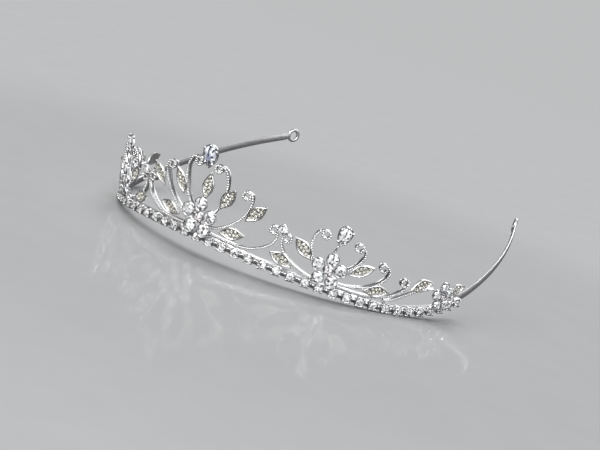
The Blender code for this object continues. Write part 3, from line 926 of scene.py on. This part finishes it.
def build_cup_chain():
    """Square cups with claws over round stones, and the links between them."""
    cups = Shape()
    stones = Shape()
    turn = Matrix.Rotation(math.radians(45.0), 2)
    outline = [turn @ point for point in square(CUP_SIDE, corner=CUP_CORNER)]
    cup_wall = wall(outline, rounded(0.0, CUP_WALL, 0.0, CUP_WALL_TOP, CUP_EDGE_R, 2), closed=True)
    cut = gem(circle(CUP_STONE_R, 16), CUP_STONE_CROWN, CUP_STONE_PAVILION, CUP_STONE_Z)
    claw = CUP_SIDE / 2 - CLAW_INSET
    tip = claw - CLAW_TIP_INSET
    for i in range(-CUPS_EACH_SIDE, CUPS_EACH_SIDE + 1):
        place = seated(seat(i * CUP_PITCH, CUP_T, CUP_BACK_D, 0.0))
        cups.add(cup_wall, place)
        cups.add(plate(outline, *CUP_FLOOR), place)
        for x, y in ((1, 1), (-1, 1), (-1, -1), (1, -1)):
            cups.add(ball(CLAW_R, x * claw, y * claw, CUP_WALL_TOP + CLAW_RISE), place)
            cups.add(ball(CLAW_R * CLAW_TIP_SHARE, x * tip, y * tip, CUP_WALL_TOP + CLAW_TIP_RISE, 8), place)
        add_gem(stones, cut, place, CUP_STONE_R, CUP_STONE_R)
    back = CUP_BACK_D + LINK_BACK
    bar = rounded(-LINK_WIDTH / 2, LINK_WIDTH / 2, back, back + LINK_DEPTH, LINK_EDGE_R, 2)
    reach = (CUP_PITCH - CUP_SIDE) / 2 + LINK_OVERLAP
    for i in range(-CUPS_EACH_SIDE, CUPS_EACH_SIDE):
        middle = (i + 0.5) * CUP_PITCH
        cups.add(wall([Vector((middle - reach, CUP_T)), Vector((middle + reach, CUP_T))], bar), bent())
    add_piece("cup_chain_cups", cups, [CHAIN], "cup_chain")
    add_piece("cup_chain_stones", stones, [CLEAR], "cup_chain")


# ---- ribbons

def loop_start(point, loop):
    """Angle at which a run from point touches the loop's circle."""
    centre_s, centre_t, radius, turn = loop
    offset = Vector((point[0] - centre_s, point[1] - centre_t))
    return math.atan2(offset.y, offset.x) + turn * math.acos(min(1.0, radius / offset.length))


def loop_point(loop, angle, share=0.0):
    """Point of the curl at an angle, share of the way along it, where it has wound tighter."""
    centre_s, centre_t, radius, _ = loop
    radius *= 1.0 - LOOP_TIGHTENING * share
    return Vector((centre_s + radius * math.cos(angle), centre_t + radius * math.sin(angle)))


def smooth_run(points):
    """Catmull-Rom curve through all but the first and last points, which set its end directions."""
    run = []
    for a, b, c, d in zip(points, points[1:], points[2:], points[3:]):
        for i in range(RIBBON_STEPS):
            u = i / RIBBON_STEPS
            run.append(0.5 * (2 * b + (c - a) * u + (2 * a - 5 * b + 4 * c - d) * u ** 2
                              + (3 * b - a - 3 * c + d) * u ** 3))
    run.append(points[-2])
    return run


def ribbon_path(points, loop):
    """Centreline of a ribbon: a smooth run that ends in a round loop, if it has one."""
    knots = [Vector(point) for point in points]
    knots.insert(0, 2 * knots[0] - knots[1])
    if loop is None:
        knots.append(2 * knots[-1] - knots[-2])
        return smooth_run(knots)
    turn = loop[3]
    start = loop_start(points[-1], loop)
    knots.append(loop_point(loop, start))
    knots.append(loop_point(loop, start + turn * math.radians(LOOP_LEAD)))
    path = smooth_run(knots)
    steps = round(LOOP_SWEEP / LOOP_STEP)
    for i in range(1, steps + 1):
        path.append(loop_point(loop, start + turn * math.radians(LOOP_SWEEP * i / steps), i / steps))
    return path


def even_points(path, pitch):
    """Points at equal distances along a path, including both ends."""
    lengths = path_lengths(path)
    count = max(1, round(lengths[-1] / pitch))
    points = []
    for k in range(count + 1):
        i, part = locate(lengths, lengths[-1] * k / count)
        points.append(path[i].lerp(path[i + 1], part))
    return points


def ribbon_shape(path, lean, balls):
    """Web, round back edge and beaded front edge along a path, and (radius, point) balls on it."""
    place = bent(lean)
    shape = Shape()
    web = rounded(-WEB_THICKNESS / 2, WEB_THICKNESS / 2, WEB_BACK, WEB_FRONT, WEB_EDGE_R, 1)
    # The web takes slot 1, the darker metal of painted shade.
    shape.add(wall(path, web), place, slot=1)
    shape.add(wall(path, disc_section(BACK_EDGE_R, 0.0, WEB_BACK + BACK_EDGE_INSET)), place)
    for point in even_points(path, BEAD_PITCH):
        shape.add(ball(BEAD_R, point.x, point.y, BEAD_D, 8), place)
    for radius, point in balls:
        shape.add(ball(radius, point.x, point.y, RIBBON_D, 14), place)
    return shape


def build_ribbons():
    """Scrolls and wires of the crest, in mirrored pairs."""
    for name, (lean, loop, points) in RIBBONS.items():
        path = ribbon_path(points, loop)
        balls = [(BALL_END_R, path[-1])] if name in BALL_ENDED else []
        if name in SOLDERED_LOOPS:
            balls.append((SOLDER_R, loop_point(loop, loop_start(points[-1], loop))))
        shape = ribbon_shape(path, lean, balls)
        add_pieces(name, "wire", shape, [BEADED, WEB])


def build_stems():
    """Stems of the side pears, with a ball at each end."""
    stem = Shape()
    path = [Vector(point) for point in SIDE_STEM]
    stem.add(wall(even_points(path, STEM_STEP), disc_section(STEM_R, 0.0, RIBBON_D, 12)), bent(SIDE_LEAN))
    for point in path:
        stem.add(ball(STEM_BALL_R, point.x, point.y, RIBBON_D, 12), bent(SIDE_LEAN))
    # The stems take the lighter pavé tone as painted light.
    add_pieces("side_pear_stem", "rod", stem, [PAVE])


# ---- leaves

def leaf_outline():
    """Anticlockwise outline of a leaf with two drawn-out points."""
    right = []
    for i in range(LEAF_STEPS + 1):
        share = (1.0 - math.cos(math.pi * i / LEAF_STEPS)) / 2
        reach = LEAF_WIDTH / 2 * math.sin(math.pi * share) ** LEAF_SHARPNESS
        right.append((reach, LEAF_LENGTH * (share - 0.5), LEAF_TIP_BEND * share ** 2))
    left = [(-reach, y, bend) for reach, y, bend in right[-2:0:-1]]
    return [Vector((reach + bend, y)) for reach, y, bend in right + left]


def leaf_stone_places():
    """Middles of a leaf's stones: one near each point and two staggered rows between."""
    left = [(LEAF_LEFT_ROW_X, LEAF_STONE_PITCH * (i - 1)) for i in range(3)]
    right = [(LEAF_RIGHT_ROW_X, LEAF_STONE_PITCH * (i - 1.5)) for i in range(4)]
    return LEAF_POINT_STONES + left + right


def leaf_grain_places():
    """Middles of a leaf's grains: a row down its middle and one along each side."""
    middle = [(0.0, LEAF_STONE_PITCH * (i - 1.75)) for i in range(4)]
    sides = [(side * LEAF_GRAIN_X, LEAF_STONE_PITCH * (i - 0.75)) for i in range(3) for side in (-1, 1)]
    return middle + sides


def leaf_shapes(place):
    """Metal and stones of one leaf."""
    metal_shape = Shape()
    stones = Shape()
    outline = leaf_outline()
    metal_shape.add(wall(outline, disc_section(LEAF_RIM_R, LEAF_RIM_INSET, LEAF_RIM_Z), closed=True), place)
    metal_shape.add(plate(outline, LEAF_PLATE_BOTTOM, LEAF_PLATE_TOP), place)
    cut = small_gem(LEAF_STONE_R, LEAF_STONE_CROWN, LEAF_STONE_PAVILION, LEAF_STONE_Z)
    for x, y in leaf_stone_places():
        add_gem(stones, cut, place, LEAF_STONE_R, LEAF_STONE_R, x, y)
    for x, y in leaf_grain_places():
        metal_shape.add(ball(LEAF_GRAIN_R, x, y, LEAF_GRAIN_Z, 8), place)
    tip_y = LEAF_LENGTH / 2 - LEAF_TIP_R
    metal_shape.add(ball(LEAF_TIP_R, LEAF_TIP_BEND, tip_y, LEAF_RIM_Z, 10), place)
    return metal_shape, stones


def build_leaves():
    """Pave leaves on the front edges of the ribbons."""
    back = RIBBON_D + RIBBON_DEPTH / 2 + LEAF_GAP
    for name, (s, t, direction, lean) in LEAVES.items():
        matrix = seat(s, t, back, lean, direction)
        if direction > 90.0:
            matrix = matrix @ Matrix.Scale(-1.0, 4, (1.0, 0.0, 0.0))
        metal_shape, stones = leaf_shapes(seated(matrix))
        on_middle = s == 0.0
        add_pieces(name, "plate", metal_shape, [PAVE], on_middle)
        add_pieces(name, "stones", stones, [CHAMPAGNE], on_middle)


# ---- flowers, pears and squares

def add_set_stone(metal_shape, stones, radius, x, y, place):
    """Round stone in a thin bezel on a flower."""
    radius *= BEZEL_SPREAD
    section = rounded(0.0, BEZEL_WALL, BEZEL_BACK, BEZEL_FRONT, BEZEL_EDGE_R, 3)
    metal_shape.add(wall(circle(radius, 32, x, y), section, closed=True), place)
    floor = circle(radius - BEZEL_FLOOR_INSET, 24, x, y)
    metal_shape.add(plate(floor, BEZEL_BACK, BEZEL_FLOOR_TOP), place)
    stone_r = radius - BEZEL_WALL * BEZEL_GRIP
    cut = gem(circle(stone_r, 16), radius * SET_CROWN_SHARE, SET_STONE_PAVILION, SET_STONE_Z)
    add_gem(stones, cut, place, stone_r, stone_r, x, y)


def flower_shapes(circle_r, petal, middle, place):
    """Plate, spokes and bezels; petal stones; middle stone."""
    metal_shape = Shape()
    petals = Shape()
    centre = Shape()
    rim = middle * HUB_SHARE
    edge = middle * HUB_TOP_SHARE
    hub = [(0.0, FLOWER_PLATE), (edge, FLOWER_PLATE), (rim, FLOWER_PLATE - HUB_EDGE), (rim, HUB_EDGE),
           (edge, 0.0), (0.0, 0.0)]
    metal_shape.add(turned(hub, 28), place)
    half = SPOKE_WIDTH / 2
    bar = rounded(-half, half, SPOKE_INSET, FLOWER_PLATE - SPOKE_INSET, SPOKE_EDGE_R, 2)
    for i in range(PETALS):
        angle = math.radians(90.0 + 360.0 / PETALS * i)
        tip = Vector((math.cos(angle), math.sin(angle))) * circle_r
        metal_shape.add(wall([Vector((0.0, 0.0)), tip], bar), place)
        add_set_stone(metal_shape, petals, petal, tip.x, tip.y, place)
    add_set_stone(metal_shape, centre, middle, 0.0, 0.0, place)
    return metal_shape, petals, centre


def build_flowers():
    """Centre flower and the mirrored side and end flowers."""
    for name, (s, t, back, lean, turn, circle_r, petal, middle) in FLOWERS.items():
        matrix = seat(s, t, back, lean) @ Matrix.Rotation(math.radians(turn), 4, "Z")
        metal_shape, petals, centre = flower_shapes(circle_r, petal, middle, seated(matrix))
        on_middle = s == 0.0
        add_pieces(name, "bezels", metal_shape, [POLISHED], on_middle)
        add_pieces(name, "petal_stones", petals, [CLEAR], on_middle)
        add_pieces(name, "middle_stone", centre, [ROSY], on_middle)


def build_pears():
    """Pear stones in walled frames with ball prongs."""
    for name, (s, t, lean, tilt, length, width) in PEARS.items():
        place = seated(seat(s, t, PEAR_D, lean, tilt))
        half = PEAR_DEPTH / 2
        setting = Shape()
        outline = pear(length, width, PEAR_STEPS)
        section = rounded(0.0, PEAR_WALL, -half, half - PEAR_WALL_DROP, PEAR_EDGE_R, 2)
        setting.add(wall(outline, section, closed=True), place)
        floor = pear(length - PEAR_FLOOR_INSET, width - PEAR_FLOOR_INSET, 8)
        setting.add(plate(floor, *(level - half for level in FRAME_FLOOR)), place)
        for share in PRONG_SHARES:
            point = outline[round(share * len(outline))] * PRONG_REACH
            setting.add(ball(PRONG_R, point.x, point.y, half - PRONG_DROP, 12), place)
        stone = Shape()
        walls = 2 * PEAR_WALL * FRAME_GRIP
        cut = gem(pear(length - walls, width - walls, 4), PEAR_CROWN, PEAR_PAVILION, half - PEAR_GIRDLE_DROP)
        add_gem(stone, cut, place, width / 2, length / 2)
        on_middle = s == 0.0
        crystal = PEAR_BLUISH if on_middle else PEAR_CLEAR
        add_pieces(name + "_setting", "frame", setting, [POLISHED], on_middle)
        add_pieces(name + "_stone", "cut", stone, [crystal], on_middle)


def build_squares():
    """Square stones in frames with corner prongs, over the two small loops."""
    place = seated(seat(SQUARE_S, SQUARE_T, SQUARE_D, SIDE_LEAN))
    half = SQUARE_DEPTH / 2
    setting = Shape()
    outline = square(SQUARE_SIDE, corner=SQUARE_CORNER)
    section = rounded(0.0, SQUARE_WALL, -half, half - SQUARE_WALL_DROP, SQUARE_EDGE_R, 2)
    setting.add(wall(outline, section, closed=True), place)
    setting.add(plate(outline, *(level - half for level in FRAME_FLOOR)), place)
    reach = SQUARE_SIDE / math.sqrt(2.0) - SQUARE_PRONG_INSET
    for x, y in ((reach, 0.0), (0.0, reach), (-reach, 0.0), (0.0, -reach)):
        setting.add(ball(SQUARE_PRONG_R, x, y, half - SQUARE_PRONG_DROP), place)
    stone = Shape()
    girdle = square(SQUARE_SIDE - 2 * SQUARE_WALL * FRAME_GRIP, 4)
    cut = gem(girdle, SQUARE_CROWN, SQUARE_PAVILION, half - SQUARE_GIRDLE_DROP, SQUARE_TABLE)
    add_gem(stone, cut, place, SQUARE_SIDE / 2, SQUARE_SIDE / 2)
    add_pieces("square_setting", "frame", setting, [POLISHED])
    add_pieces("square_stone", "cut", stone, [CLEAR])


# ---- floor, light and camera

def build_floor():
    """Pale, slightly glossy round floor that fades into the background far away.

    The tiara's metal sees it in a darker tone, which keeps the silver from washing out.
    """
    mesh = bpy.data.meshes.new("floor")
    bm = bmesh.new()
    bmesh.ops.create_circle(bm, cap_ends=True, segments=96, radius=FLOOR_RADIUS)
    bm.to_mesh(mesh)
    bm.free()
    material, nodes, shader = new_material("pale_floor")
    position = nodes.new("NewGeometry").outputs["Position"]
    grain = nodes.noise(position, FLOOR_GRAIN)
    shade = tuple(c * FLOOR_GRAIN_SHADE for c in FLOOR_TONE)
    tone = nodes.mix(nodes.spread(grain, 0.0, 1.0), FLOOR_TONE, shade)
    reflected = nodes.new("LightPath").outputs["Is Glossy Ray"]
    nodes.link(nodes.mix(reflected, tone, REFLECTED_TONE), shader.inputs["Base Color"])
    nodes.link(nodes.spread(grain, *FLOOR_ROUGHNESS), shader.inputs["Roughness"])
    shader.inputs["Specular IOR Level"].default_value = 0.0
    distance = nodes.vector("LENGTH", position, output="Value")
    gloss = nodes.ramp(distance, MIRROR_START, MIRROR_END, FLOOR_MIRROR, 0.0)
    mirror = nodes.new("BsdfGlossy", Roughness=FLOOR_MIRROR_ROUGHNESS)
    surface = nodes.mix_shaders(gloss, shader.outputs["BSDF"], mirror.outputs["BSDF"])
    fade = nodes.ramp(distance, FADE_START, FADE_END, 0.0, 1.0)
    surface = nodes.mix_shaders(fade, surface, nodes.new("BsdfTransparent").outputs["BSDF"])
    nodes.link(surface, material.node_tree.nodes["Material Output"].inputs["Surface"])
    mesh.materials.append(material)
    floor = bpy.data.objects.new("floor", mesh)
    bpy.context.scene.collection.objects.link(floor)


def aim(obj, place, target):
    """Puts an object at a place, looking at a target."""
    obj.location = place
    obj.rotation_mode = "QUATERNION"
    obj.rotation_quaternion = (Vector(target) - Vector(place)).to_track_quat("-Z", "Y")


def add_softbox(name, place, size, power, colour):
    """Rectangular studio light aimed at the tiara, and shining on the tiara alone."""
    light = bpy.data.lights.new(name, "AREA")
    light.shape = "RECTANGLE"
    light.size, light.size_y = size
    light.energy = power
    light.color = colour
    obj = bpy.data.objects.new(name, light)
    bpy.context.scene.collection.objects.link(obj)
    obj.light_linking.receiver_collection = PIECES
    aim(obj, place, SOFTBOX_TARGET)


def build_world():
    """Pale background for the camera, and a dim room for reflections."""
    world = bpy.data.worlds.new("studio")
    bpy.context.scene.world = world
    world.use_nodes = True
    nodes = Nodes(world.node_tree)
    background = world.node_tree.nodes["Background"]
    coordinates = nodes.new("TexCoord")
    split = nodes.new("SeparateXYZ")
    nodes.link(coordinates.outputs["Generated"], split.inputs[0])
    height = nodes.new("MapRange")
    nodes.link(split.outputs["Z"], height.inputs["Value"])
    room = nodes.mix(height.outputs["Result"], ROOM_LOW, ROOM_HIGH)
    seen = nodes.new("LightPath").outputs["Is Camera Ray"]
    nodes.link(nodes.mix(seen, room, PALE), background.inputs["Color"])


def build_lights():
    """An even broad light overhead, and the soft boxes."""
    sun = bpy.data.lights.new("overhead_light", "SUN")
    sun.angle = math.radians(OVERHEAD_SPREAD)
    sun.energy = OVERHEAD_STRENGTH
    overhead = bpy.data.objects.new("overhead_light", sun)
    overhead.visible_glossy = False
    bpy.context.scene.collection.objects.link(overhead)
    aim(overhead, OVERHEAD_FROM, (0.0, 0.0, 0.0))
    for name, (place, size, power, colour) in SOFTBOXES.items():
        add_softbox(name, place, size, power, colour)


def build_camera():
    """Camera at its place, turned by azimuth, elevation and roll."""
    data = bpy.data.cameras.new("camera")
    data.lens = CAMERA_LENS
    data.clip_start = 0.01
    camera = bpy.data.objects.new("camera", data)
    bpy.context.scene.collection.objects.link(camera)
    turn = (Matrix.Rotation(math.radians(CAMERA_AZIMUTH), 4, "Z")
            @ Matrix.Rotation(math.radians(90.0 - CAMERA_ELEVATION), 4, "X")
            @ Matrix.Rotation(math.radians(CAMERA_ROLL), 4, "Z"))
    camera.matrix_world = Matrix.Translation(CAMERA_PLACE) @ turn
    bpy.context.scene.camera = camera


build_headband()
build_eyelets()
build_cup_chain()
build_ribbons()
build_stems()
build_leaves()
build_flowers()
build_pears()
build_squares()
build_floor()
build_world()
build_lights()
build_camera()
bpy.context.scene.view_settings.view_transform = "Standard"
